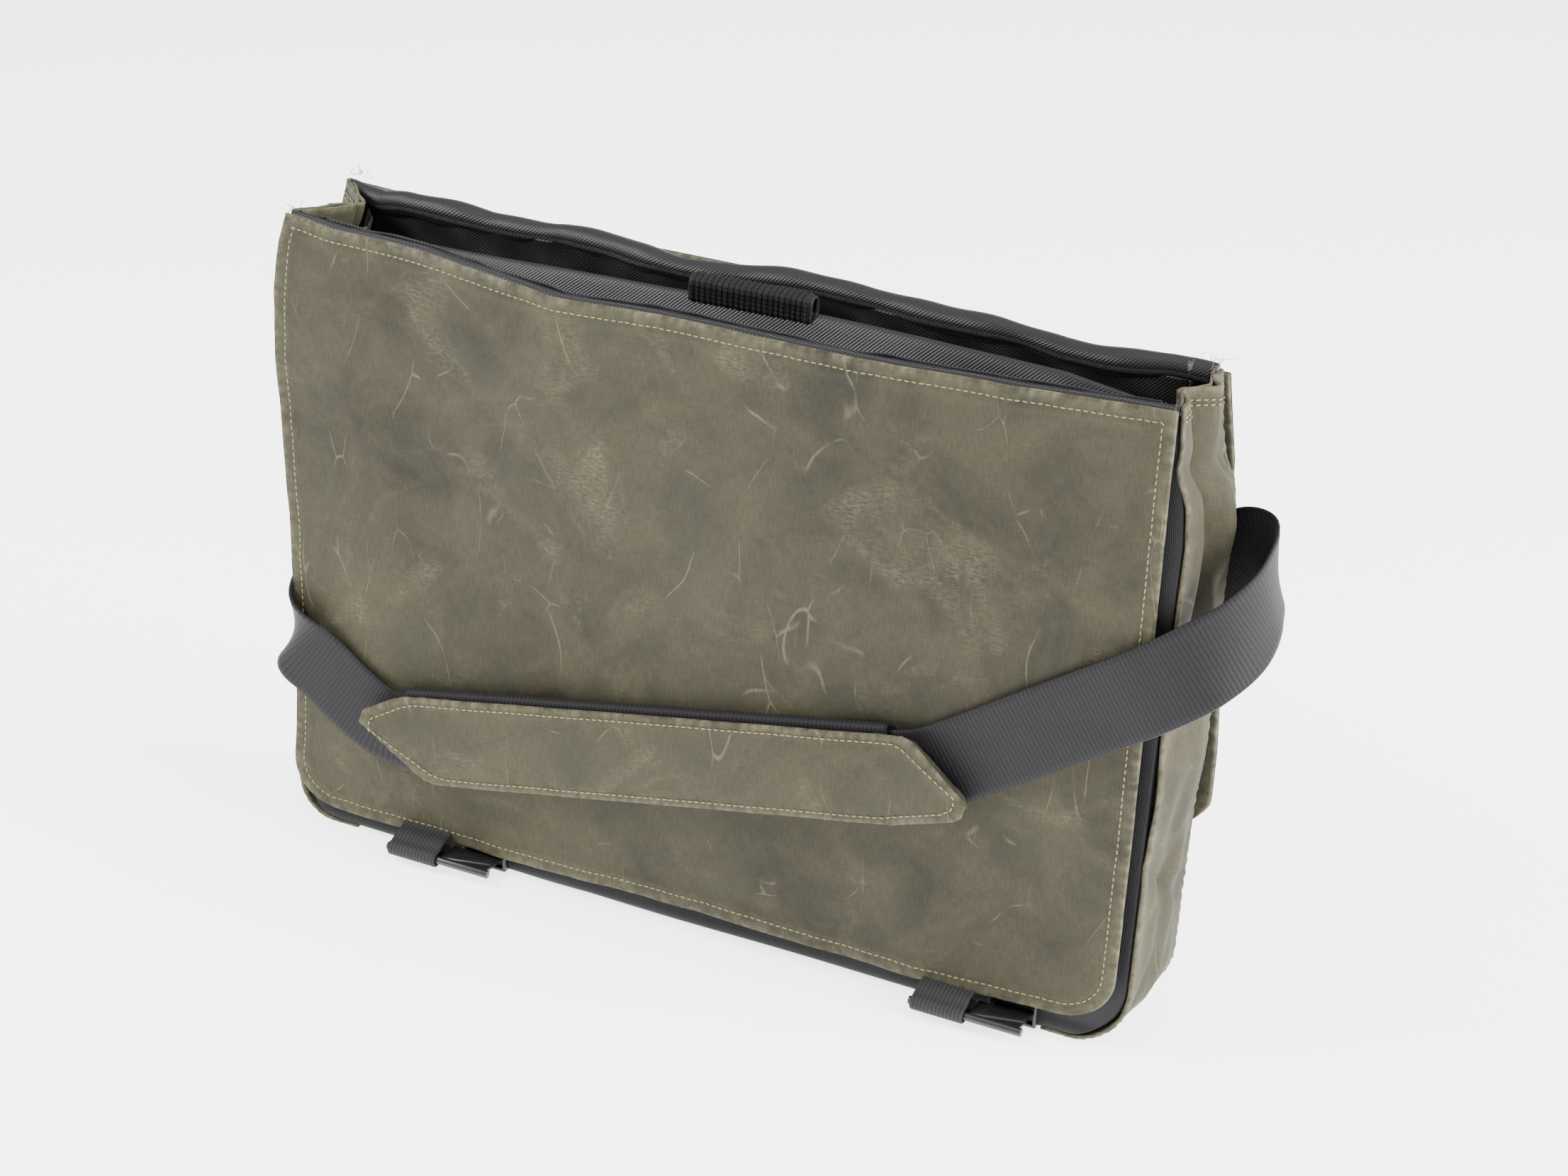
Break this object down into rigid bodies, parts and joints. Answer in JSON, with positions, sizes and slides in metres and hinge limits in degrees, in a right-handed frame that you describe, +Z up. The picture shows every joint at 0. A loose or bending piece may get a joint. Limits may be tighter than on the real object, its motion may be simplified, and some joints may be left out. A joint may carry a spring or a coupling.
{
  "type": "satchel bag",
  "caption": "Soft satchel with an open top, a front cover held by elastic loops, a main flap thrown back, and a shoulder strap with a sliding pad across the front.",
  "frame": {"origin": "middle of the underside of the base", "axes": "+X along the bag to its right, -Y towards its front, +Z up"},
  "size_m": [0.4832, 0.0799, 0.3162],
  "materials": {
    "waxed_canvas": "matte",
    "packcloth": "matte",
    "lining_twill": "satin",
    "webbing": "satin",
    "elastic": "matte",
    "molded_plastic": "gloss",
    "foam": "matte",
    "board": "matte"
  },
  "bodies": {
    "bag": {"front_wall": "packcloth", "back_wall": "packcloth", "base_panel": "packcloth", "base_stiffener": "board", "gusset_left": "waxed_canvas", "gusset_right": "waxed_canvas", "gusset_hem_left": "waxed_canvas", "gusset_hem_right": "waxed_canvas", "lining_front": "lining_twill", "lining_back": "lining_twill", "lining_floor": "lining_twill", "lining_left": "lining_twill", "lining_right": "lining_twill", "laptop_sleeve": "lining_twill", "sleeve_pull_tab": "webbing", "front_top_hem": "packcloth", "back_top_hem": "packcloth", "hook_keeper_left": "webbing", "hook_keeper_right": "webbing", "strap_tail_left": "webbing", "strap_tail_right": "webbing", "strap_anchor_left": "webbing", "strap_anchor_right": "webbing"},
    "cover": {"front_cover_canvas": "waxed_canvas", "front_cover_lining": "lining_twill", "elastic_loop_left": "elastic", "elastic_loop_right": "elastic"},
    "left_hook": {"hook_left": "molded_plastic"},
    "right_hook": {"hook_right": "molded_plastic"},
    "flap_top": {"flap_top_canvas": "waxed_canvas", "flap_top_lining": "lining_twill", "flap_fold_welt": "lining_twill"},
    "flap_front": {"flap_front_canvas": "waxed_canvas", "flap_front_lining": "lining_twill"},
    "strap_ends": {"strap_roll_left": "webbing", "strap_roll_right": "webbing", "strap_left_rear": "webbing", "strap_right_rear": "webbing"},
    "strap": {"strap_left_run": "webbing", "strap_front_run": "webbing", "strap_right_loop": "webbing"},
    "pad": {"pad_sleeve": "webbing", "pad_foam": "foam", "pad_canvas": "waxed_canvas"}
  },
  "joints": [
    {"name": "cover_lift", "type": "hinge", "parent": "bag", "child": "cover", "pos_m": [0, -0.0295, 0.309], "axis": [-1, 0, 0], "range_deg": [0, 75]},
    {"name": "left_hook_turn", "type": "hinge", "parent": "cover", "child": "left_hook", "pos_m": [-0.137, -0.043, 0.007], "axis": [1, 0, 0], "range_deg": [-10, 10]},
    {"name": "right_hook_turn", "type": "hinge", "parent": "cover", "child": "right_hook", "pos_m": [0.137, -0.043, 0.007], "axis": [1, 0, 0], "range_deg": [-10, 10]},
    {"name": "flap_swing", "type": "hinge", "parent": "bag", "child": "flap_top", "pos_m": [0, 0.031, 0.314], "axis": [-1, 0, 0], "range_deg": [-270, 0]},
    {"name": "flap_fold", "type": "hinge", "parent": "flap_top", "child": "flap_front", "pos_m": [0, 0.031, 0.2344], "axis": [-1, 0, 0], "range_deg": [-90, 0]},
    {"name": "strap_rise", "type": "hinge", "parent": "bag", "child": "strap_ends", "pos_m": [0, 0.027, 0.285], "axis": [-1, 0, 0], "range_deg": [0, 98]},
    {"name": "strap_swing", "type": "hinge", "parent": "strap_ends", "child": "strap", "pos_m": [0, 0.027, 0.285], "axis": [1, 0, 0], "range_deg": [-150, 0]},
    {"name": "pad_slide", "type": "slide", "parent": "strap", "child": "pad", "axis": [0.9815, 0, 0.1914], "range_m": [-0.01, 0.01]}
  ],
  "couplings": [
    {"joint": "strap_rise", "follows": "cover_lift", "ratio": 1.3}
  ]
}
